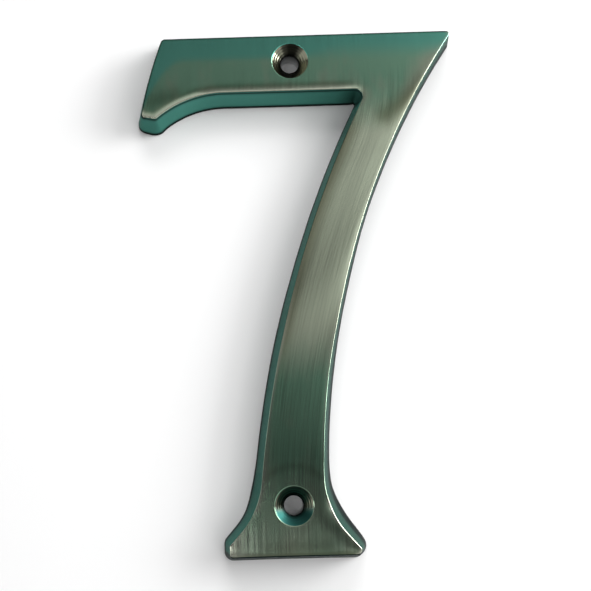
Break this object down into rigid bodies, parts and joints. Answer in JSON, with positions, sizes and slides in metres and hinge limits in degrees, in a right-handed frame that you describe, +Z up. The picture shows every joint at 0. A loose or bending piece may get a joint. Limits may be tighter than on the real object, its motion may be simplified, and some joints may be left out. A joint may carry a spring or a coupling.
{
  "type": "door numeral seven",
  "caption": "Brushed metal door numeral in the shape of a seven with a beaked bar, a curved leaning stem and a flared foot, made to be screwed flat to a door or wall.",
  "frame": {"origin": "middle of the two screw holes, on the flat back", "axes": "+Z up the numeral, +Y into the door, the face looks along -Y, +X to the right as it is read"},
  "size_m": [0.0631, 0.0055, 0.1019],
  "materials": {
    "brushed_metal": "brushed satin face, darker smooth walls"
  },
  "bodies": {
    "root": {"numeral_seven": "brushed_metal"}
  },
  "joints": []
}
